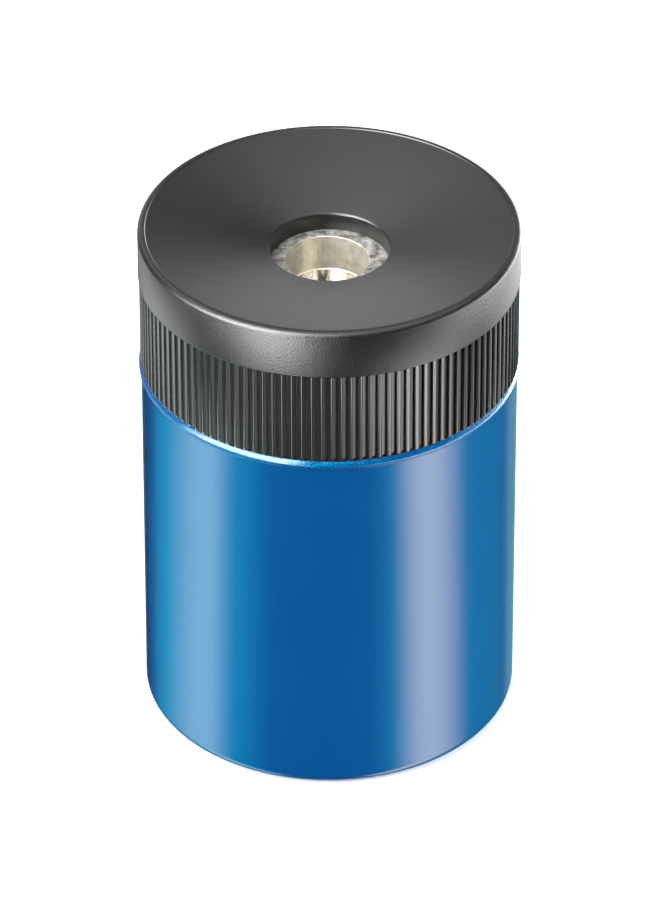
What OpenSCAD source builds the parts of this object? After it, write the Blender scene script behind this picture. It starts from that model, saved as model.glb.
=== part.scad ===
// Tub pencil sharpener: a lacquered metal tub that catches the shavings, and a moulded lid
// that plugs into it and carries a wedge sharpener with its blade and screw.
// Millimetres, +Z up, origin under the centre of the tub.

/* [Tub] */
// Outside diameter of the tub's wall
tub_d = 37.6; // [32:0.1:50]
// Height of the tub, from the table to its mouth
tub_h = 39.8; // [30:0.1:70]
// Thickness of the tub's wall
tub_wall = 0.5; // [0.3:0.05:1]
// Thickness of the tub's floor
tub_floor = 0.6; // [0.4:0.05:1.5]
// Radius of the rounded edge round the tub's foot
foot_round = 1.2; // [0.8:0.1:2.5]
// Width of the ring that the tub stands on, inside the rounded edge
foot_ring = 2.6; // [1:0.1:5]
// How far the floor is pushed up inside that ring
floor_rise = 0.5; // [0.2:0.05:1.5]
// Height of the rolled bead at the mouth
bead_h = 0.9; // [0.5:0.05:2]
// How far the bead stands proud of the wall
bead_proud = 0.24; // [0.1:0.02:0.6]

/* [Lid] */
// How far the lid's smooth band stands proud of the tub's wall
lid_proud = 0.2; // [0.1:0.05:0.5]
// Height of the lid above the tub's mouth
lid_h = 15.1; // [12:0.1:22]
// Height of the smooth band round the lid's top
band_h = 5.15; // [3.5:0.05:6.5]
// Thickness of the lid's side
lid_wall = 1.5; // [1:0.1:2]
// Thickness of the lid's top
top_wall = 1.9; // [1.2:0.1:2.5]
// Radius of the rounded outer edge of the rim
rim_round = 0.5; // [0.2:0.05:0.9]
// Width of the flat lip inside the rounded edge
rim_lip = 0.25; // [0.1:0.05:1]
// Depth of the small step from the lip down to the funnel
rim_step = 0.08; // [0.02:0.01:0.3]
// Depth of the shallow funnel, from its edge to the hole
funnel_depth = 2.2; // [1:0.05:3]
// Diameter of the hole that the pencil goes through
hole_d = 11.9; // [10:0.1:14]
// Radius of the rounded edge of that hole
hole_round = 0.3; // [0.1:0.05:0.6]

/* [Grip ribs] */
// Number of ribs round the lid
rib_count = 120; // [60:1:160]
// Depth of the grooves between the ribs
rib_depth = 0.4; // [0.2:0.05:0.7]
// How far the ribs lie under the smooth band
rib_inset = 0.1; // [0.05:0.05:0.3]
// Share of the pitch that a rib's crest takes
rib_crest = 0.55; // [0.3:0.05:0.7]
// Share of the pitch that a groove's bottom takes
rib_valley = 0.3; // [0.1:0.05:0.3]

/* [Plug] */
// Length of the lid's plug inside the tub
plug_len = 5; // [3:0.1:8]
// Play between the plug and the tub's wall, on the radius
plug_play = 0.1; // [0.05:0.01:0.3]
// Size of the bevel that leads the plug in
plug_lead = 0.5; // [0.2:0.05:0.8]
// Gap between the lid's shoulder and the tub's mouth
mouth_gap = 0.06; // [0.03:0.01:0.2]

/* [Wedge sharpener] */
// Distance of the bore from the lid's axis, to the right
bore_x = -0.25; // [-0.6:0.05:0.6]
// Distance of the bore from the lid's axis, to the back
bore_y = 0.5; // [-0.6:0.05:0.6]
// Diameter of the pencil's bore
bore_d = 8.3; // [7.5:0.05:8.8]
// Length of the bore before the cone
bore_len = 3.8; // [3:0.1:3.9]
// Diameter of the cone where it leaves the bore
cone_d = 8.1; // [7.8:0.05:8.2]
// Diameter of the cone's tip
tip_d = 1; // [0.6:0.1:1.6]
// Angle between the cone's side and its axis
cone_angle = 11.75; // [10:0.25:14]
// Width of the block
block_w = 15; // [14:0.1:17]
// Length of the block
block_len = 24; // [22:0.1:28]
// Distance from the bore's axis to the block's back, at the mouth
block_back = 5.6; // [5.5:0.1:8]
// Angle of the block's back
back_angle = 4; // [0:0.5:6]
// Distance from the bore's axis to the face of the head, at the mouth
head_front = 6.5; // [6:0.1:7.2]
// Length of the head, above the blade's seat
head_len = 4.1; // [3.9:0.1:4.4]
// How far the blade's seat cuts into the cone
seat_sink = 0.3; // [0.15:0.05:0.5]
// Depth of the finger hollows in the block's sides
waist_depth = 1; // [0.5:0.1:1.4]
// Length of those hollows
waist_len = 14; // [10:0.5:15]
// Depth of the grip grooves across the hollows
groove_depth = 0.25; // [0.1:0.05:0.4]
// Distance between the grip grooves
groove_pitch = 1.25; // [1:0.05:2]
// Width of the chip throat beside the blade's edge
throat_w = 4; // [3:0.1:5]
// Depth of the chip throat
throat_depth = 1.1; // [0.6:0.1:1.6]
// Width of the throat's flat bottom, before it slants up
throat_flat = 1; // [0.5:0.1:2]

/* [Blade and screw] */
// Length of the blade
blade_len = 19.8; // [18:0.1:20]
// Width of the blade
blade_w = 7.4; // [6.8:0.1:8]
// Thickness of the blade
blade_t = 0.6; // [0.4:0.05:0.8]
// Width of the ground bevel at the blade's edge
bevel_w = 1.1; // [0.7:0.1:1.6]
// Gap between the blade and its seat
seat_play = 0.01; // [0.005:0.005:0.03]
// Gap between the blade's end and the head
blade_gap = 0.15; // [0.05:0.05:0.4]
// Distance of the screw from the bore's axis
screw_x = 4.2; // [4.1:0.05:4.6]
// Distance of the screw from the blade's upper end
screw_down = 8.4; // [8:0.1:11]
// Diameter of the screw's shank
shank_d = 2.5; // [2:0.1:2.6]
// Length of the screw's shank, under its head
shank_len = 5.4; // [4:0.1:6]
// Diameter of the screw's head
head_d = 4.2; // [3.6:0.1:4.8]
// Height of the screw's head
head_h = 1.1; // [0.7:0.05:1.5]
// Width of the driver slot
slot_w = 0.7; // [0.5:0.05:1]
// Depth of the driver slot
slot_depth = 0.55; // [0.3:0.05:0.7]
// Play between the shank and its holes, on the radius
screw_play = 0.05; // [0.03:0.01:0.15]
// How far the block's hole runs on past the end of the shank
screw_spare = 0.5; // [0.2:0.1:1]

/* [Holder] */
// Thickness of the holder's walls
holder_wall = 1.2; // [0.8:0.1:1.8]
// Height of the holder all round the block's head
collar_h = 3; // [2:0.1:3.3]
// Height of the holder beside and behind the block
cheek_h = 7.5; // [5:0.1:9]
// Play between the block and the holder
block_play = 0.05; // [0.03:0.01:0.2]
// Flat land under the lid, round the holder
land_d = 22.4; // [21:0.1:25]

/* [Hidden] */
$fn = 96;
arc_steps = 6;
over = 1; // how far cuts run past a face, and walls into the part that carries them
bead_start = -60; // where the bead's round starts, under its widest point

tub_r = tub_d / 2;
tub_in_r = tub_r - tub_wall;
bead_r = tub_r + bead_proud;
ring_in_r = tub_r - foot_round - foot_ring;
floor_z = floor_rise + tub_floor;

lid_r = tub_r + lid_proud;
seat_z = tub_h + mouth_gap;
rim_z = tub_h + lid_h;
band_z = rim_z - band_h;
crest_r = lid_r - rib_inset;
valley_r = crest_r - rib_depth;
lid_in_r = valley_r - lid_wall;
plug_r = tub_in_r - plug_play;
plug_z = tub_h - plug_len;
funnel_r = lid_r - rim_round - rim_lip;
funnel_z = rim_z - rim_step;
hole_r = hole_d / 2;
hole_z = funnel_z - funnel_depth;
face_z = hole_z - top_wall;
land_r = land_d / 2;
roof_rise = (lid_in_r - land_r) * funnel_depth / (funnel_r - hole_r);

slope = tan(cone_angle);
cone_r = cone_d / 2;
tip_r = tip_d / 2;
cone_len = (cone_r - tip_r) / slope;
head_step = head_front - head_len * slope;
waist_r = (waist_len * waist_len / 4 + waist_depth * waist_depth) / (2 * waist_depth);
blade_top = seat_play + blade_t;
screw_hole_r = shank_d / 2 + screw_play;
waist_z = -head_len - (block_len - head_len) / 2 - over;
groove_count = floor((waist_len / 2 - groove_pitch) / groove_pitch);

// Distance from the bore's axis to the plane of the blade's seat, at a depth below the mouth
function seat_y(depth) = cone_r - (depth - bore_len) * slope - seat_sink;

// Points along an arc, from one angle to another
function arc(x, y, r, from, to) =
    [for (i = [0:arc_steps]) let (a = from + (to - from) * i / arc_steps) [x + r * cos(a), y + r * sin(a)]];

// ---- Tub ----

// Half section of the tub: rounded foot, pushed-up floor, straight wall and rolled bead
module tub_section() {
    inner_round = foot_round - tub_wall / 2;
    bead_round = bead_h / 2;
    polygon(concat(
        [[0, floor_rise], [ring_in_r - floor_rise, floor_rise], [ring_in_r, 0]],
        arc(tub_r - foot_round, foot_round, foot_round, -90, 0),
        [[tub_r, tub_h - bead_h]],
        arc(bead_r - bead_round, tub_h - bead_round, bead_round, bead_start, 90),
        [[tub_in_r, tub_h]],
        arc(tub_in_r - inner_round, floor_z + inner_round, inner_round, 0, -90),
        [[0, floor_z]]
    ));
}

module tub() {
    color("#0a64ad")
        rotate_extrude() tub_section();
}

// ---- Lid ----

// Half section of the lid without its ribs: rim, funnel, hole, side and plug
module lid_section() {
    polygon(concat(
        [[hole_r, face_z]],
        arc(hole_r + hole_round, hole_z - hole_round, hole_round, 180, 90),
        [[funnel_r, funnel_z], [funnel_r, rim_z]],
        arc(lid_r - rim_round, rim_z - rim_round, rim_round, 90, 0),
        [[lid_r, band_z], [valley_r, band_z], [valley_r, seat_z], [plug_r, seat_z]],
        [[plug_r, plug_z + plug_lead], [plug_r - plug_lead, plug_z], [lid_in_r, plug_z]],
        [[lid_in_r, face_z + roof_rise], [land_r, face_z]]
    ));
}

// Outline of the ribbed side, with two corners on each crest and two in each groove
module rib_outline() {
    pitch = 360 / rib_count;
    crest = pitch * rib_crest / 2;
    valley = pitch * (1 - rib_valley / 2) - pitch / 2;
    corners = [[crest_r, -crest], [crest_r, crest], [valley_r, valley], [valley_r, pitch - valley]];
    polygon([for (i = [0:rib_count - 1], corner = corners)
        let (a = i * pitch + corner[1])
        [corner[0] * cos(a), corner[0] * sin(a)]]);
}

// The ribs, fused into the lid's side up to half its thickness
module grip_ribs() {
    translate([0, 0, seat_z])
        linear_extrude(band_z - seat_z)
            difference() {
                rib_outline();
                circle(r = valley_r - lid_wall / 2);
            }
}

// Walls under the lid that grip the block: a collar round its head, cheeks at its sides and back
module holder() {
    inner_w = block_w + 2 * block_play;
    front = -head_front - block_play;
    back = block_back + block_play;
    outer_w = inner_w + 2 * holder_wall;
    translate([bore_x, bore_y, face_z])
        difference() {
            union() {
                translate([-outer_w / 2, front - holder_wall, -collar_h])
                    cube([outer_w, back - front + 2 * holder_wall, collar_h + over / 2]);
                translate([-outer_w / 2, 0, -cheek_h])
                    cube([outer_w, back + holder_wall, cheek_h + over / 2]);
            }
            translate([-inner_w / 2, front, -cheek_h - over])
                cube([inner_w, back - front, cheek_h + over]);
            translate([-bore_x, -bore_y, 0])
                cylinder(r = hole_r + over, h = over);
        }
}

module lid() {
    color("#26262a")
        union() {
            rotate_extrude() lid_section();
            grip_ribs();
            holder();
        }
}

// ---- Wedge sharpener ----

// Puts its children on the bore's axis, at the block's mouth
module at_mouth() {
    translate([bore_x, bore_y, face_z]) children();
}

// Puts its children on the blade's seat: X across the edge, Y out of the seat, Z up along it,
// from the upper end of the seat
module on_seat() {
    at_mouth()
        translate([0, -seat_y(head_len), -head_len])
            rotate([cone_angle, 0, 0])
                mirror([0, 1, 0]) children();
}

// Side view of the block, drawn with Y to the right and Z up
module block_side() {
    polygon([
        [-head_front, 0],
        [-head_step, -head_len],
        [-seat_y(head_len), -head_len],
        [-seat_y(block_len), -block_len],
        [block_back - block_len * tan(back_angle), -block_len],
        [block_back, 0]
    ]);
}

// Front view of the block, with hollow grooved sides
module block_front() {
    difference() {
        translate([-block_w / 2, -block_len]) square([block_w, block_len]);
        for (side = [-1, 1])
            translate([side * (block_w / 2 - waist_depth + waist_r), waist_z]) {
                circle(r = waist_r);
                for (i = [-groove_count:groove_count])
                    rotate(i * groove_pitch / waist_r * 180 / PI)
                        translate([-side * waist_r, 0])
                            circle(r = groove_depth);
            }
    }
}

// Half section of the pencil's way in: the bore, then the cone down to its tip
module bore_section() {
    polygon([
        [0, over],
        [bore_d / 2, over],
        [bore_d / 2, -bore_len],
        [cone_r, -bore_len],
        [tip_r, -bore_len - cone_len],
        [0, -bore_len - cone_len]
    ]);
}

// The groove beside the blade's edge that the chips leave through
module chip_throat() {
    length = (block_len - head_len) / cos(cone_angle) + over;
    on_seat()
        translate([0, 0, -length])
            linear_extrude(length - over / 2)
                polygon([[0, over], [0, -throat_depth], [throat_flat, -throat_depth],
                    [throat_w, 0], [throat_w, over]]);
}

module sharpener_body() {
    color("#c9c6bd")
        difference() {
            at_mouth()
                intersection() {
                    rotate([90, 0, 90])
                        translate([0, 0, -block_w])
                            linear_extrude(2 * block_w) block_side();
                    rotate([90, 0, 0])
                        translate([0, 0, -block_w])
                            linear_extrude(2 * block_w) block_front();
                }
            at_mouth()
                rotate_extrude() bore_section();
            chip_throat();
            screw_axis()
                cylinder(r = screw_hole_r, h = 2 * (shank_len - blade_top + screw_spare), center = true);
        }
}

// ---- Blade and screw ----

// Puts its children on the screw's axis, on the blade's seat, with Z out of the seat
module screw_axis() {
    on_seat()
        translate([-screw_x, 0, -blade_gap - screw_down])
            rotate([-90, 0, 0]) children();
}

module blade() {
    color("#d6d8da")
        difference() {
            on_seat()
                translate([0, 0, -blade_gap - blade_len])
                    linear_extrude(blade_len)
                        polygon([[0, seat_play], [-bevel_w, blade_top],
                            [-blade_w, blade_top], [-blade_w, seat_play]]);
            screw_axis()
                cylinder(r = screw_hole_r, h = 2 * (blade_top + over), center = true);
        }
}

module blade_screw() {
    color("#b9bcc0")
        screw_axis()
            difference() {
                union() {
                    translate([0, 0, blade_top - shank_len])
                        cylinder(d = shank_d, h = shank_len + head_h / 2);
                    translate([0, 0, blade_top])
                        cylinder(d = head_d, h = head_h);
                }
                translate([-head_d, -slot_w / 2, blade_top + head_h - slot_depth])
                    cube([2 * head_d, slot_w, head_h]);
            }
}

tub();
lid();
sharpener_body();
blade();
blade_screw();
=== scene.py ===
# Tub pencil sharpener: lacquered tub, black ribbed lid and wedge sharpener, in metres.
import math

import bmesh
import bpy
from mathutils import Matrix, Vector


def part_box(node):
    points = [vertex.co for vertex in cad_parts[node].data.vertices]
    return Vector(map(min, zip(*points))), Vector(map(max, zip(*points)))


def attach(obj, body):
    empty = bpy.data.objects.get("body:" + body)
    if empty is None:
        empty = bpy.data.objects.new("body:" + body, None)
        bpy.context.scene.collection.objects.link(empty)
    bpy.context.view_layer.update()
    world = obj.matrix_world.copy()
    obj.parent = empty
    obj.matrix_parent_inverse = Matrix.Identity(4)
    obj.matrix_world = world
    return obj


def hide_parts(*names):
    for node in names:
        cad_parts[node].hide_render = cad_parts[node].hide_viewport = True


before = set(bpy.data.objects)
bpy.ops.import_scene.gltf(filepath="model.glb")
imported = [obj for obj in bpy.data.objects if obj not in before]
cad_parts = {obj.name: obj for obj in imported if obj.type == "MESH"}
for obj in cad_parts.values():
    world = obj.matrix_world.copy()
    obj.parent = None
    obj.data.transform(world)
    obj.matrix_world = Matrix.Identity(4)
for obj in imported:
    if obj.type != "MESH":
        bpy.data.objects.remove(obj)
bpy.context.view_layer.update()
mm = 0.001
print("frame loaded")

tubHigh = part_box("tub")[1]
lidLow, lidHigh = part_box("lid")
boreAxis = (-0.25 * mm, 0.5 * mm)


cameraSetup = {
    "elevation": 34.91,  # degrees above the table
    "distance": 760 * mm,
    "lens": 300.3,  # for the 36 mm long side of a 660 x 904 picture
    "sensor": 36,
    "clipStart": 10 * mm,
    "aimX": 0.06 * mm,
    "aimDown": 27.1 * mm,  # from the rim down to the point looked at
}


def makeCamera():
    s = cameraSetup
    tilt = math.radians(s["elevation"])
    target = Vector((s["aimX"], 0, lidHigh.z - s["aimDown"]))
    back = Vector((0, -math.cos(tilt), math.sin(tilt)))
    camera = bpy.data.objects.new("camera", bpy.data.cameras.new("camera"))
    camera.data.lens = s["lens"]
    camera.data.sensor_width = s["sensor"]
    camera.data.clip_start = s["clipStart"]
    camera.location = target + back * s["distance"]
    camera.rotation_mode = "QUATERNION"
    camera.rotation_quaternion = (-back).to_track_quat("-Z", "Y")
    bpy.context.scene.collection.objects.link(camera)
    bpy.context.scene.camera = camera


makeCamera()
print("camera placed")


studio = {
    "floorSize": 6.0,
    "floorColour": (0.86, 0.86, 0.86, 1),
    "floorRoughness": 0.9,
    "floorLift": 0.2,  # lifts the white seen by the camera, not the light on the object
    "backdrop": (1, 1, 1, 1),
    "ambient": (0.62, 0.63, 0.65, 1),
    "dark": 0.008,  # what shiny surfaces see between the soft boxes
}

# heights that the soft boxes cover, in degrees, and how wide their lower and upper edges fade
tiers = {
    "tub": {"low": -80, "high": -29, "rise": 4},
    "ribs": {"low": -31, "high": -16, "rise": 4},
    "band": {"low": -14, "high": 10, "rise": 5},
    "bandEnds": {"low": -14, "high": 8, "rise": 5},
    "key": {"low": 4, "high": 80, "rise": 12},
    "behind": {"low": -8, "high": 24, "rise": 13},
    "overBehind": {"low": 24, "high": 66, "rise": 12},
    "sky": {"low": 40, "high": 120, "rise": 20},
}

# what shiny surfaces see: azimuth from the camera's side, positive to the right, in degrees;
# fades are the widths of the soft left and right edges
softBoxes = {
    "lowLeft": {"tier": "tub", "from": -131, "to": -63, "fades": (50, 21), "colour": (1.9, 2.5, 2.4)},
    "lowRight": {"tier": "tub", "from": 39, "to": 104, "fades": (24, 37), "colour": (4.4, 3.3, 2.8)},
    "tailLeft": {"tier": "tub", "from": -150, "to": -60, "fades": (25, 20), "colour": (0, 0.3, 0.25)},
    "innerLeft": {"tier": "tub", "from": -78, "to": -38, "fades": (12, 22), "colour": (0, 1, 1)},
    "tailRight": {"tier": "tub", "from": 78, "to": 165, "fades": (20, 60), "colour": (0, 0.3, 0.2)},
    "edgeLeft": {"tier": "tub", "from": -152, "to": -106, "fades": (20, 16), "colour": (0, 0.25, 0.3)},
    "lowBack": {"tier": "tub", "from": 142, "to": 196, "fades": (15, 20), "colour": (0.13, 0.3, 0.35)},
    "ribLeft": {"tier": "ribs", "from": -165, "to": -80, "fades": (62, 14), "colour": (5.4, 5.4, 5.4)},
    "ribMiddle": {"tier": "ribs", "from": -120, "to": 130, "fades": (30, 30), "colour": (0.5, 0.5, 0.5)},
    "ribRight": {"tier": "ribs", "from": 14, "to": 91, "fades": (43, 36), "colour": (12.6, 12.6, 12.4)},
    "ribEdge": {"tier": "ribs", "from": 86, "to": 200, "fades": (40, 20), "colour": (4, 4, 4)},
    "bandKey": {"tier": "band", "from": -59, "to": -4, "fades": (30, 25), "colour": (22.5, 22.5, 22.5)},
    "bandRight": {"tier": "band", "from": 48, "to": 172, "fades": (38, 20), "colour": (8.4, 8.4, 8.3)},
    "bandFar": {"tier": "bandEnds", "from": 78, "to": 168, "fades": (60, 22), "colour": (6, 6, 6)},
    "bandLeft": {"tier": "bandEnds", "from": -180, "to": -50, "fades": (40, 30), "colour": (0.2, 0.2, 0.2)},
    "keyLeft": {"tier": "key", "from": -98, "to": -12, "fades": (26, 18), "colour": (24, 24, 24)},
    "backLow": {"tier": "behind", "from": 132, "to": 227, "fades": (28, 24), "colour": (2, 2, 2)},
    "backLeft": {"tier": "overBehind", "from": 182, "to": 240, "fades": (14, 14), "colour": (1.1, 1.1, 1.1)},
    "innerRight": {"tier": "tub", "from": 28, "to": 58, "fades": (14, 14), "colour": (0, 0.55, 0.4)},
    "sky": {"tier": "sky", "from": -200, "to": 200, "fades": (1, 1), "colour": (2, 2, 1.96)},
}

# lamps aimed at the object, for its matt side: place, size and power
lamps = {
    "keyLamp": {"place": (-0.78, -0.42, 0.70), "size": 0.5, "power": 9.0},
    "fillLamp": {"place": (0.78, -0.22, 0.50), "size": 0.6, "power": 6.0},
    "leftLamp": {"place": (-0.95, 0.15, 0.35), "size": 0.5, "power": 4.0},
    "rightLamp": {"place": (0.95, 0.15, 0.35), "size": 0.5, "power": 3.5},
    "topLamp": {"place": (0.0, 0.35, 1.0), "size": 0.7, "power": 6.0},
}


def mathNode(tree, operation, a, b=None):
    node = tree.nodes.new("ShaderNodeMath")
    node.operation = operation
    for socket, value in zip(node.inputs, (a, b)):
        if isinstance(value, (int, float)):
            socket.default_value = value
        elif value is not None:
            tree.links.new(value, socket)
    return node.outputs[0]


def vectorNode(tree, operation, *values):
    node = tree.nodes.new("ShaderNodeVectorMath")
    node.operation = operation
    for socket, value in zip(node.inputs, values):
        tree.links.new(value, socket)
    return node.outputs[0]


def splitVector(tree, vector):
    split = tree.nodes.new("ShaderNodeSeparateXYZ")
    tree.links.new(vector, split.inputs[0])
    return split.outputs["X"], split.outputs["Y"], split.outputs["Z"]


def rampUp(tree, value, start, end):
    node = tree.nodes.new("ShaderNodeMapRange")
    node.interpolation_type = "SMOOTHSTEP"
    tree.links.new(value, node.inputs["Value"])
    node.inputs["From Min"].default_value = start
    node.inputs["From Max"].default_value = end
    return node.outputs["Result"]


def mixColours(tree, share, first, second):
    node = tree.nodes.new("ShaderNodeMix")
    node.data_type = "RGBA"
    for name, value in (("Factor", share), ("A", first), ("B", second)):
        socket = next(i for i in node.inputs if i.name == name and (name == "Factor" or i.type == "RGBA"))
        if isinstance(value, bpy.types.NodeSocket):
            tree.links.new(value, socket)
        else:
            socket.default_value = value
    return next(o for o in node.outputs if o.type == "RGBA")


def softBoxGlow(tree, direction, box):
    # a box of light seen in a direction, with soft edges
    tier = tiers[box["tier"]]
    middle = (box["from"] + box["to"]) / 2
    half = (box["to"] - box["from"]) / 2
    turn = tree.nodes.new("ShaderNodeVectorRotate")
    turn.rotation_type = "Z_AXIS"
    turn.inputs["Angle"].default_value = -math.radians(middle)
    tree.links.new(direction, turn.inputs["Vector"])
    x, y, z = splitVector(tree, turn.outputs[0])
    azimuth = mathNode(tree, "DEGREES", mathNode(tree, "ARCTAN2", x, mathNode(tree, "MULTIPLY", y, -1)))
    elevation = mathNode(tree, "DEGREES", mathNode(tree, "ARCSINE", z))
    glow = rampUp(tree, azimuth, -half, -half + box["fades"][0])
    for edge in ((azimuth, half, half - box["fades"][1]),
                 (elevation, tier["low"], tier["low"] + tier["rise"]),
                 (elevation, tier["high"], tier["high"] - tier["rise"])):
        glow = mathNode(tree, "MULTIPLY", glow, rampUp(tree, *edge))
    light = tree.nodes.new("ShaderNodeVectorMath")
    light.operation = "SCALE"
    light.inputs[0].default_value = box["colour"]
    tree.links.new(glow, light.inputs["Scale"])
    return light.outputs[0]


def makeWorld():
    world = bpy.data.worlds.new("studio")
    world.use_nodes = True
    world.cycles.sampling_method = "NONE"  # each kind of ray then sees its own side of the studio
    bpy.context.scene.world = world
    tree = world.node_tree
    background = tree.nodes["Background"]
    rays = tree.nodes.new("ShaderNodeLightPath")
    direction = tree.nodes.new("ShaderNodeTexCoord").outputs["Generated"]
    shine = tree.nodes.new("ShaderNodeCombineXYZ").outputs[0]
    for socket in shine.node.inputs:
        socket.default_value = studio["dark"]
    for box in softBoxes.values():
        shine = vectorNode(tree, "ADD", shine, softBoxGlow(tree, direction, box))
    light = mixColours(tree, rays.outputs["Is Glossy Ray"], studio["ambient"], shine)
    seen = mathNode(tree, "MAXIMUM", rays.outputs["Is Camera Ray"], rays.outputs["Is Transmission Ray"])
    tree.links.new(mixColours(tree, seen, light, studio["backdrop"]), background.inputs["Color"])


def makeFloor():
    bm = bmesh.new()
    bmesh.ops.create_grid(bm, x_segments=2, y_segments=2, size=studio["floorSize"] / 2)
    mesh = bpy.data.meshes.new("floor")
    bm.to_mesh(mesh)
    bm.free()
    floor = bpy.data.objects.new("floor", mesh)
    bpy.context.scene.collection.objects.link(floor)
    floor.visible_glossy = False
    material = bpy.data.materials.new("paleFloor")
    material.use_nodes = True
    tree = material.node_tree
    bsdf = tree.nodes["Principled BSDF"]
    bsdf.inputs["Base Color"].default_value = studio["floorColour"]
    bsdf.inputs["Roughness"].default_value = studio["floorRoughness"]
    bsdf.inputs["Specular IOR Level"].default_value = 0
    rays = tree.nodes.new("ShaderNodeLightPath")
    glow = tree.nodes.new("ShaderNodeEmission")
    tree.links.new(mathNode(tree, "MULTIPLY", rays.outputs["Is Camera Ray"], studio["floorLift"]),
                   glow.inputs["Strength"])
    both = tree.nodes.new("ShaderNodeAddShader")
    tree.links.new(bsdf.outputs[0], both.inputs[0])
    tree.links.new(glow.outputs[0], both.inputs[1])
    tree.links.new(both.outputs[0], tree.nodes["Material Output"].inputs["Surface"])
    mesh.materials.append(material)


def makeLamps():
    for name, lamp in lamps.items():
        data = bpy.data.lights.new(name, "AREA")
        data.shape = "SQUARE"
        data.size = lamp["size"]
        data.energy = lamp["power"]
        obj = bpy.data.objects.new(name, data)
        obj.location = lamp["place"]
        obj.rotation_mode = "QUATERNION"
        aim = Vector((0, 0, lidHigh.z / 2)) - obj.location
        obj.rotation_quaternion = aim.to_track_quat("-Z", "Y")
        obj.visible_glossy = False  # the soft boxes of the studio make the highlights
        bpy.context.scene.collection.objects.link(obj)


makeWorld()
makeFloor()
makeLamps()
bpy.context.scene.view_settings.view_transform = "Standard"
print("studio lit")


grainDetail = {"grain": 1, "patches": 4}
noiseMiddle = (0.3, 0.7)  # most of a noise's values lie between these


def newMaterial(name, shader):
    material = bpy.data.materials.new(name)
    material.use_nodes = True
    bsdf = material.node_tree.nodes["Principled BSDF"]
    for socket, value in shader.items():
        bsdf.inputs[socket].default_value = value
    return material, material.node_tree, bsdf


def objectCoordinates(tree, scale=(1, 1, 1), move=(0, 0, 0)):
    place = tree.nodes.new("ShaderNodeMapping")
    place.inputs["Scale"].default_value = scale
    place.inputs["Location"].default_value = move
    tree.links.new(tree.nodes.new("ShaderNodeTexCoord").outputs["Object"], place.inputs["Vector"])
    return place.outputs[0]


def makeGrainGroup():
    # fine uneven grain: a height for bumps and a patchy share for colour and gloss
    group = bpy.data.node_groups.new("fineGrain", "ShaderNodeTree")
    face = group.interface
    face.new_socket("Vector", in_out="INPUT", socket_type="NodeSocketVector")
    for name in ("Grains per metre", "Patches per metre", "Sharpness"):
        face.new_socket(name, in_out="INPUT", socket_type="NodeSocketFloat")
    face.new_socket("Height", in_out="OUTPUT", socket_type="NodeSocketFloat")
    face.new_socket("Patches", in_out="OUTPUT", socket_type="NodeSocketFloat")
    start = group.nodes.new("NodeGroupInput")
    end = group.nodes.new("NodeGroupOutput")
    grain = group.nodes.new("ShaderNodeTexNoise")
    grain.inputs["Detail"].default_value = grainDetail["grain"]
    patches = group.nodes.new("ShaderNodeTexNoise")
    patches.inputs["Detail"].default_value = grainDetail["patches"]
    for noise, scale in ((grain, "Grains per metre"), (patches, "Patches per metre")):
        group.links.new(start.outputs["Vector"], noise.inputs["Vector"])
        group.links.new(start.outputs[scale], noise.inputs["Scale"])
    group.links.new(start.outputs["Sharpness"], grain.inputs["Roughness"])
    group.links.new(grain.outputs["Fac"], end.inputs["Height"])
    group.links.new(patches.outputs["Fac"], end.inputs["Patches"])
    return group


grainGroup = makeGrainGroup()


def addGrain(tree, vector, grains, patches, sharpness):
    node = tree.nodes.new("ShaderNodeGroup")
    node.node_tree = grainGroup
    tree.links.new(vector, node.inputs["Vector"])
    node.inputs["Grains per metre"].default_value = grains
    node.inputs["Patches per metre"].default_value = patches
    node.inputs["Sharpness"].default_value = sharpness
    return node.outputs["Height"], node.outputs["Patches"]


def addBump(tree, bsdf, height, depth, start=None):
    bump = tree.nodes.new("ShaderNodeBump")
    bump.inputs["Distance"].default_value = depth
    tree.links.new(height, bump.inputs["Height"])
    if start:
        tree.links.new(start, bump.inputs["Normal"])
    tree.links.new(bump.outputs[0], bsdf.inputs["Normal"])


def between(tree, share, low, high):
    # the middle of a share spread over a range of values
    node = tree.nodes.new("ShaderNodeMapRange")
    tree.links.new(share, node.inputs["Value"])
    node.inputs["From Min"].default_value, node.inputs["From Max"].default_value = noiseMiddle
    node.inputs["To Min"].default_value = low
    node.inputs["To Max"].default_value = high
    return node.outputs["Result"]


def mottle(tree, patches, colours):
    return mixColours(tree, between(tree, patches, 0, 1), *colours)


def fadeFrom(tree, value, start, fade):
    # rises from 0 to 1 between two distances from a start
    return rampUp(tree, value, start + fade[0], start + fade[1])


def upright(tree, vector):
    # distance from the upright axis, and height
    x, y, z = splitVector(tree, vector)
    squares = [mathNode(tree, "POWER", side, 2) for side in (x, y)]
    return mathNode(tree, "SQRT", mathNode(tree, "ADD", *squares)), z


def brushedMetal(name, s):
    # a grain drawn out one way, over soft patches of two tones
    material, tree, bsdf = newMaterial(name, s["shader"])
    height, patches = addGrain(tree, objectCoordinates(tree, s["stretch"]), *s["grain"])
    tree.links.new(mottle(tree, patches, s["colours"]), bsdf.inputs["Base Color"])
    if "roughness" in s:
        tree.links.new(between(tree, patches, *s["roughness"]), bsdf.inputs["Roughness"])
    addBump(tree, bsdf, height, s["bump"])
    return material


mergeDistance = 0.0005 * mm
sharpAngle = 32  # degrees from which an edge of a new piece stays sharp


def arcPoints(x, z, radius, start, end, steps):
    angles = [math.radians(start + (end - start) * i / steps) for i in range(steps + 1)]
    return [(x + radius * math.cos(a), z + radius * math.sin(a)) for a in angles]


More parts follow.
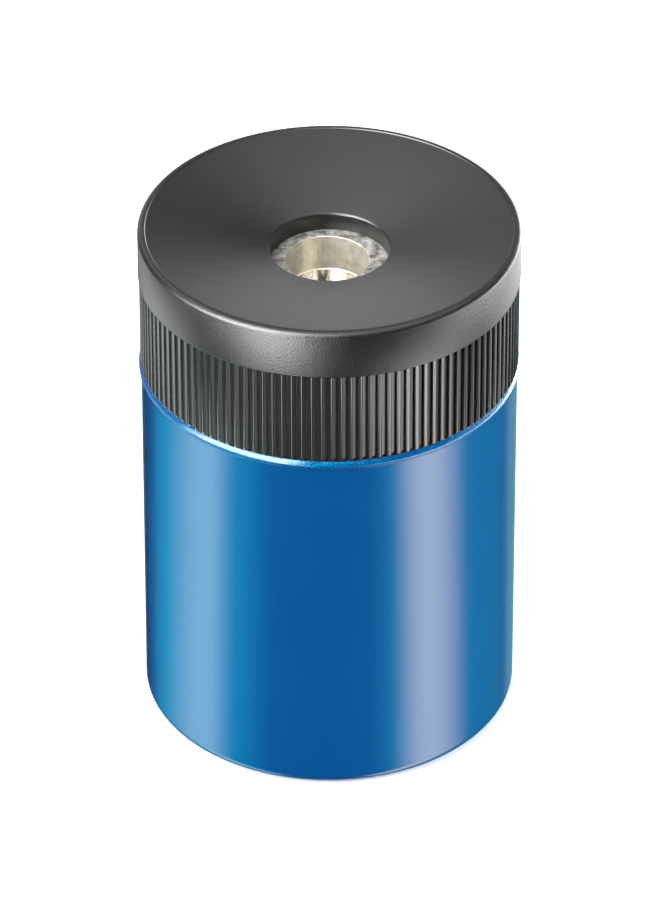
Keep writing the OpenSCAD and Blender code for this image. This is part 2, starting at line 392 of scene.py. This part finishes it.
def lathe(outline, steps, sectors):
    # spins an outline of (radius, height) points round the upright axis, one sector at first
    bm = bmesh.new()
    verts = [bm.verts.new((r, 0, z)) for r, z in outline]
    edges = [bm.edges.new(pair) for pair in zip(verts, verts[1:])]
    turn = 2 * math.pi / sectors
    bmesh.ops.spin(bm, geom=verts + edges, cent=(0, 0, 0), axis=(0, 0, 1), angle=turn, steps=steps // sectors)
    bmesh.ops.spin(bm, geom=bm.verts[:] + bm.edges[:] + bm.faces[:], cent=(0, 0, 0), axis=(0, 0, 1),
                   angle=2 * math.pi - turn, steps=sectors - 1, use_duplicate=True)
    bmesh.ops.remove_doubles(bm, verts=bm.verts, dist=mergeDistance)
    bmesh.ops.recalc_face_normals(bm, faces=bm.faces)
    return bm


def finishPiece(bm, name, body, replaced, materials):
    mesh = bpy.data.meshes.new(name)
    bm.to_mesh(mesh)
    bm.free()
    for material in materials:
        mesh.materials.append(material)
    mesh.polygons.foreach_set("use_smooth", [True] * len(mesh.polygons))
    mesh.set_sharp_from_angle(angle=math.radians(sharpAngle))
    piece = bpy.data.objects.new(name, mesh)
    bpy.context.scene.collection.objects.link(piece)
    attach(piece, body)
    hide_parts(*replaced)


tubShape = {
    "radius": 18.8 * mm,
    "wall": 0.5 * mm,
    "floor": 0.6 * mm,
    "footRound": 1.2 * mm,
    "footRing": 2.6 * mm,
    "floorRise": 0.5 * mm,
    "softEdge": 0.15 * mm,  # rounds the step of the pushed-up floor and the mouth's inner edge
    # faint ridge on the wall: how far out of the wall, and how far above the bead's lower edge
    "ridge": [(0, -0.12 * mm), (0.02 * mm, -0.03 * mm), (0.01 * mm, 0)],
    "beadHeight": 0.9 * mm,
    "beadHem": 0.13 * mm,  # tight round at the bead's lower edge
    "beadSide": 0.42 * mm,  # height of its upright side
    "beadCorner": (0.01 * mm, 0.06 * mm),  # how far in and how far down the face's lower corner is cut
    "beadCrown": 1.45 * mm,  # wide round of its sloping face
    "beadFace": (28, 50),  # degrees that this face turns through
    "beadTop": (62, 90),  # degrees of the tight round above it
    "steps": 288,
    "sectors": 24,
}

# grain is grains per metre, patches per metre and sharpness, here and below
lacquer = {
    "shader": {"Roughness": 0.3, "IOR": 1.55, "Specular IOR Level": 0.4, "Specular Tint": (0, 1, 1, 1),
               "Coat Weight": 1, "Coat Roughness": 0.03, "Coat IOR": 1.5},
    "colours": ((0, 0.054, 0.213, 1), (0, 0.06, 0.228, 1)),
    "grain": (5200, 120, 0.5),
    "beadFade": (-0.1 * mm, 0.3 * mm),  # heights over which the bead's rougher finish sets in
    "bump": 0.13 * mm,
    "wallBump": 0.01,  # share of the bump off the bead
    "speckles": (8200, 120, 0.5),
    "speckleFade": (0.54, 0.44),
    "speckleLoss": 0.5,  # share of the clear coat missing on the bead's speckles
}

insideLacquer = {
    "shader": {"Metallic": 0.85, "Roughness": 0.36},
    "colours": ((0.55, 0.54, 0.5, 1), (0.63, 0.62, 0.58, 1)),
    "stretch": (1, 1, 0.1),
    "grain": (2600, 200, 0.6),
    "bump": 0.004 * mm,
}


def blueLacquer():
    # deep blue under clear lacquer, grainy and speckled on the rolled bead
    s = lacquer
    material, tree, bsdf = newMaterial("blueLacquer", s["shader"])
    vector = objectCoordinates(tree)
    height, patches = addGrain(tree, vector, *s["grain"])
    tree.links.new(mottle(tree, patches, s["colours"]), bsdf.inputs["Base Color"])
    bead = fadeFrom(tree, upright(tree, vector)[1], tubHigh.z - tubShape["beadHeight"], s["beadFade"])
    grain = mathNode(tree, "MULTIPLY", height, mathNode(tree, "MAXIMUM", bead, s["wallBump"]))
    addBump(tree, bsdf, grain, s["bump"])
    speckle = rampUp(tree, addGrain(tree, vector, *s["speckles"])[0], *s["speckleFade"])
    loss = mathNode(tree, "MULTIPLY", mathNode(tree, "MULTIPLY", bead, speckle), s["speckleLoss"])
    tree.links.new(mathNode(tree, "SUBTRACT", 1, loss), bsdf.inputs["Coat Weight"])
    return material


def makeTub():
    s = tubShape
    outer, inner, top = s["radius"], s["radius"] - s["wall"], tubHigh.z
    ringIn = outer - s["footRound"] - s["footRing"]
    floorTop = s["floorRise"] + s["floor"]
    neck = top - s["beadHeight"]
    hem, crown = s["beadHem"], s["beadCrown"]
    innerRound = s["footRound"] - s["wall"] / 2
    soft = s["softEdge"]
    outline = [(0, s["floorRise"])]
    outline += arcPoints(ringIn - s["floorRise"] - soft, s["floorRise"] - soft, soft, 90, 45, steps=3)
    outline += arcPoints(ringIn + soft / 2, soft, soft, 225, 270, steps=3)
    outline += arcPoints(outer - s["footRound"], s["footRound"], s["footRound"], -90, 0, steps=12)
    outline += [(outer + out, neck + up) for out, up in s["ridge"]]
    outline += arcPoints(tubHigh.x - hem, neck + hem, hem, -70, 0, steps=5)
    low, high = [math.radians(angle) for angle in s["beadFace"]]
    cutIn, cutDown = s["beadCorner"]
    x, z = tubHigh.x - cutIn - crown * math.cos(low), neck + s["beadSide"] - crown * math.sin(low)
    outline += [(tubHigh.x, neck + s["beadSide"] - cutDown)]
    outline += arcPoints(x, z, crown, *s["beadFace"], steps=7)
    x, z = x + (crown - hem) * math.cos(high), z + (crown - hem) * math.sin(high)
    outline += arcPoints(x, z, hem, *s["beadTop"], steps=3)
    outline += arcPoints(inner + soft, top - soft, soft, 90, 180, steps=4)
    outline += arcPoints(inner - innerRound, floorTop + innerRound, innerRound, 0, -90, steps=8)
    outline += [(0, floorTop)]
    bm = lathe(outline, s["steps"], s["sectors"])
    margin = 0.05 * mm
    for face in bm.faces:
        middle = face.calc_center_median()
        inside = math.hypot(middle.x, middle.y) < inner + margin and middle.z > floorTop - margin
        face.material_index = 1 if inside else 0
    finishPiece(bm, "tub_shell", "tub", ["tub"],
                [blueLacquer(), brushedMetal("insideLacquer", insideLacquer)])


makeTub()
print("tub made")


lidShape = {
    "bandHeight": 5.15 * mm,
    "bandEdge": 0.12 * mm,  # rounds the band's lower edge
    "rimRound": 0.5 * mm,
    "rimLip": 0.25 * mm,
    "rimStep": 0.08 * mm,
    "funnelDepth": 2.2 * mm,
    "holeRadius": 5.95 * mm,
    "holeRound": 0.3 * mm,
    "topWall": 1.9 * mm,
    "landRadius": 11.2 * mm,
    "sideWall": 1.5 * mm,
    "ribInset": 0.1 * mm,
    "ribDepth": 0.4 * mm,
    "ribEnd": 0.14 * mm,  # height of the ring that closes the grooves' lower ends
    "ribCount": 120,
    "plugPlay": 0.1 * mm,
    "plugLead": 0.5 * mm,
    "mouthGap": 0.06 * mm,
    "softEdge": 0.05 * mm,
}

# one rib and groove, as shares of the pitch from the crest's middle and of the groove's depth
ribSection = [(0, 0), (0.1, 0), (0.155, 0.018), (0.206, 0.07), (0.25, 0.154), (0.28, 0.247), (0.3, 0.345),
              (0.312, 0.43), (0.61, 0.61), (0.625, 1), (0.755, 1), (0.79, 0.08), (0.805, 0)]

# walls under the lid that grip the block, from the bore's axis
holderShape = {
    "half": 7.55 * mm,
    "front": -6.55 * mm,
    "back": 5.65 * mm,
    "wall": 1.2 * mm,
    "collar": 3.0 * mm,
    "cheek": 7.5 * mm,
    "root": 0.4 * mm,  # how far the walls run up into the lid
    "edge": 0.12 * mm,
    "sharp": 0.5,  # radians from which an edge is broken
}

# the rim's and the groove's fades are distances from the lid's edge, the band's from its lower edge
plastic = {
    "shader": {"IOR": 1.5},
    "colours": ((0.0045, 0.0045, 0.0048, 1), (0.0065, 0.0065, 0.0068, 1)),
    "grain": (7000, 260, 0.6),
    "roughness": (0.17, 0.21),
    "bandRoughness": 0.11,  # added on the band
    "grooveRoughness": 0.34,
    "bandFade": (-0.05 * mm, 0.05 * mm),
    "rimFade": (-0.9 * mm, -0.3 * mm),
    "grooveFade": (-0.16 * mm, -0.22 * mm),
    "sideFade": (18.0 * mm, 18.3 * mm),  # distances from the axis
    "bandLean": 0.28,  # tips the band's shading back by 16 degrees
    "sideLean": 0.09,  # tips the ribs' shading back by 5 degrees
    "bump": 0.03 * mm,
    "plainBump": 0.3,  # share of the bump off the band
}


def blackPlastic():
    # eggshell moulding: the band is matt and grained, the ribs glossier, their grooves rough
    s = plastic
    material, tree, bsdf = newMaterial("blackPlastic", s["shader"])
    vector = objectCoordinates(tree)
    height, patches = addGrain(tree, vector, *s["grain"])
    tree.links.new(mottle(tree, patches, s["colours"]), bsdf.inputs["Base Color"])
    radius, rise = upright(tree, vector)
    rim = fadeFrom(tree, radius, lidHigh.x, s["rimFade"])
    upper = fadeFrom(tree, rise, lidHigh.z - lidShape["bandHeight"], s["bandFade"])
    band = mathNode(tree, "MULTIPLY", upper, rim)
    bandDull = mathNode(tree, "MULTIPLY", band, s["bandRoughness"])
    dull = mathNode(tree, "ADD", between(tree, patches, *s["roughness"]), bandDull)
    groove = fadeFrom(tree, radius, lidHigh.x, s["grooveFade"])
    groove = mathNode(tree, "MULTIPLY", groove, s["grooveRoughness"])
    tree.links.new(mathNode(tree, "MAXIMUM", dull, groove), bsdf.inputs["Roughness"])
    sideLean = mathNode(tree, "MULTIPLY", rampUp(tree, radius, *s["sideFade"]), s["sideLean"])
    bandLean = mathNode(tree, "MULTIPLY", band, s["bandLean"])
    lean = tree.nodes.new("ShaderNodeCombineXYZ")
    tree.links.new(mathNode(tree, "MAXIMUM", bandLean, sideLean), lean.inputs["Z"])
    normal = tree.nodes.new("ShaderNodeNewGeometry").outputs["Normal"]
    normal = vectorNode(tree, "NORMALIZE", vectorNode(tree, "ADD", normal, lean.outputs[0]))
    share = mathNode(tree, "ADD", mathNode(tree, "MULTIPLY", band, 1 - s["plainBump"]), s["plainBump"])
    addBump(tree, bsdf, mathNode(tree, "MULTIPLY", height, share), s["bump"], normal)
    return material


def addHolder(bm, face):
    s = holderShape
    columns = [-s["half"] - s["wall"], -s["half"], s["half"], s["half"] + s["wall"]]
    rows = [s["front"] - s["wall"], s["front"], 0, s["back"], s["back"] + s["wall"]]
    walls = bmesh.new()
    height = face + s["root"]
    grid = [[walls.verts.new((boreAxis[0] + x, boreAxis[1] + y, height)) for x in columns] for y in rows]
    lastRow, lastColumn = len(rows) - 2, len(columns) - 2
    cells = [(r, c) for r in range(lastRow + 1) for c in range(lastColumn + 1)
             if r in (0, lastRow) or c in (0, lastColumn)]
    base = [walls.faces.new((grid[r][c], grid[r][c + 1], grid[r + 1][c + 1], grid[r + 1][c]))
            for r, c in cells]
    lower = base
    for depth in (s["root"] + s["collar"], s["cheek"] - s["collar"]):
        new = bmesh.ops.extrude_face_region(walls, geom=lower, use_keep_orig=True)["geom"]
        moved = [g for g in new if isinstance(g, bmesh.types.BMVert)]
        bmesh.ops.translate(walls, vec=(0, 0, -depth), verts=moved)
        if lower is not base:
            bmesh.ops.delete(walls, geom=lower, context="FACES")  # the cheeks and collar are one wall
        flat = [g for g in new if isinstance(g, bmesh.types.BMFace)]
        lower = [f for f in flat if f.calc_center_median().y > boreAxis[1]]
    bmesh.ops.recalc_face_normals(walls, faces=walls.faces)
    edges = [e for e in walls.edges if e.is_manifold and e.calc_face_angle() > s["sharp"]]
    bmesh.ops.bevel(walls, geom=edges, offset=s["edge"], segments=2, affect="EDGES", profile=0.5, material=-1)
    bmesh.ops.recalc_face_normals(walls, faces=walls.faces)
    mesh = bpy.data.meshes.new("holder")
    walls.to_mesh(mesh)
    walls.free()
    bm.from_mesh(mesh)
    bpy.data.meshes.remove(mesh)


def makeLid():
    s = lidShape
    edge, top = lidHigh.x, lidHigh.z
    seat = tubHigh.z + s["mouthGap"]
    bandLow = top - s["bandHeight"]
    crest = edge - s["ribInset"]
    side = crest - s["ribDepth"] - s["sideWall"]
    plug = tubShape["radius"] - tubShape["wall"] - s["plugPlay"]
    funnelEdge = edge - s["rimRound"] - s["rimLip"]
    funnelTop = top - s["rimStep"]
    hole, holeTop, holeRound = s["holeRadius"], funnelTop - s["funnelDepth"], s["holeRound"]
    face = holeTop - s["topWall"]
    roof = face + (side - s["landRadius"]) * s["funnelDepth"] / (funnelEdge - hole)
    lip = s["rimStep"] / 2
    ribLow = seat + s["ribEnd"]
    soft = s["softEdge"]
    outline = [(hole, face)]
    outline += arcPoints(hole + holeRound, holeTop - holeRound, holeRound, 180, 100, steps=5)
    outline += [(funnelEdge - lip, funnelTop), (funnelEdge, funnelTop + lip), (funnelEdge + lip, top)]
    outline += arcPoints(edge - s["rimRound"], top - s["rimRound"], s["rimRound"], 90, 0, steps=9)
    outline += arcPoints(edge - s["bandEdge"], bandLow + s["bandEdge"], s["bandEdge"], 0, -90, steps=3)
    outline += [(crest, bandLow), (crest, ribLow), (crest, seat + soft), (crest - soft, seat), (plug, seat)]
    outline += [(plug, lidLow.z + s["plugLead"]), (plug - s["plugLead"], lidLow.z), (side, lidLow.z)]
    outline += [(side, roof), (s["landRadius"], face), (hole, face)]
    steps = s["ribCount"] * len(ribSection)
    bm = lathe(outline, steps, s["ribCount"])
    tiny = 0.01 * mm
    for v in bm.verts:
        radius = math.hypot(v.co.x, v.co.y)
        if ribLow - tiny < v.co.z < bandLow + tiny and plug + tiny < radius < crest + tiny:
            index = round(math.atan2(v.co.y, v.co.x) / (2 * math.pi) * steps) % steps
            share, depth = ribSection[index % len(ribSection)]
            angle = (index // len(ribSection) + share) * 2 * math.pi / s["ribCount"]
            radius -= depth * s["ribDepth"]
            v.co.x, v.co.y = radius * math.cos(angle), radius * math.sin(angle)
    addHolder(bm, face)
    finishPiece(bm, "lid_shell", "lid", ["lid"], [blackPlastic()])


makeLid()
print("lid made")


castFinish = {
    "shader": {"Metallic": 1},
    "colours": ((0.06, 0.06, 0.058, 1), (0.42, 0.41, 0.38, 1)),
    # the bore's bright warm colour: partly the reamed metal's own tone, partly painted light lifting the deep
    # bore out of its shade
    "boreColourWithPaintedLight": (1, 0.96, 0.88, 1),
    "grain": (3600, 1400, 0.7),
    "boreFade": (4.0 * mm, 4.3 * mm),  # distances from the bore's axis
    "boreRoughness": 0.2,
    "roughness": (0.3, 0.5),  # added outside the bore
    "bump": 0.12 * mm,
    "boreBump": 0.08,  # share of the bump inside the bore
}

groundSteel = {
    "shader": {"Metallic": 1},
    "colours": ((0.55, 0.56, 0.58, 1), (0.66, 0.67, 0.69, 1)),
    "stretch": (1, 1, 0.03),
    "grain": (9000, 700, 0.6),
    "roughness": (0.22, 0.32),
    "bump": 0.003 * mm,
}

platedSteel = {
    "shader": {"Metallic": 1},
    "colours": ((0.56, 0.56, 0.57, 1), (0.68, 0.68, 0.68, 1)),
    "stretch": (1, 1, 1),
    "grain": (4000, 900, 0.5),
    "roughness": (0.2, 0.34),
    "bump": 0.004 * mm,
}


def castMetal():
    # grainy and mottled outside; smoother reamed metal in the bore, whose bright warm colour is partly its
    # own and partly painted light that lifts the deep bore out of its shade
    s = castFinish
    material, tree, bsdf = newMaterial("castMetal", s["shader"])
    height, patches = addGrain(tree, objectCoordinates(tree), *s["grain"])
    fromBore = objectCoordinates(tree, move=(-boreAxis[0], -boreAxis[1], 0))
    outside = rampUp(tree, upright(tree, fromBore)[0], *s["boreFade"])
    # inside the bore this colour carries painted light as well as the metal's own tone
    colour = mixColours(tree, outside, s["boreColourWithPaintedLight"], mottle(tree, patches, s["colours"]))
    tree.links.new(colour, bsdf.inputs["Base Color"])
    rough = mathNode(tree, "MULTIPLY", outside, between(tree, patches, *s["roughness"]))
    tree.links.new(mathNode(tree, "ADD", s["boreRoughness"], rough), bsdf.inputs["Roughness"])
    grain = mathNode(tree, "MULTIPLY", height, mathNode(tree, "MAXIMUM", outside, s["boreBump"]))
    addBump(tree, bsdf, grain, s["bump"])
    return material


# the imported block, blade and screw: material and width of the broken edges
sharpenerPieces = {
    "sharpener_body": {"material": castMetal(), "edge": 0.07 * mm},
    "blade": {"material": brushedMetal("groundSteel", groundSteel), "edge": 0.025 * mm},
    "blade_screw": {"material": brushedMetal("platedSteel", platedSteel), "edge": 0.05 * mm},
}
sharpenerEdges = {"merge": 0.001 * mm, "segments": 2, "sharp": 40}  # sharp in degrees


def finishSharpener():
    for name, piece in sharpenerPieces.items():
        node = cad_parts[name]
        node.data.materials.clear()
        node.data.materials.append(piece["material"])
        node.modifiers.new("weld", "WELD").merge_threshold = sharpenerEdges["merge"]
        bevel = node.modifiers.new("bevel", "BEVEL")
        bevel.width = piece["edge"]
        bevel.segments = sharpenerEdges["segments"]
        bevel.limit_method = "ANGLE"
        bevel.angle_limit = math.radians(sharpenerEdges["sharp"])
        node.modifiers.new("normals", "WEIGHTED_NORMAL")


finishSharpener()
print("sharpener finished")
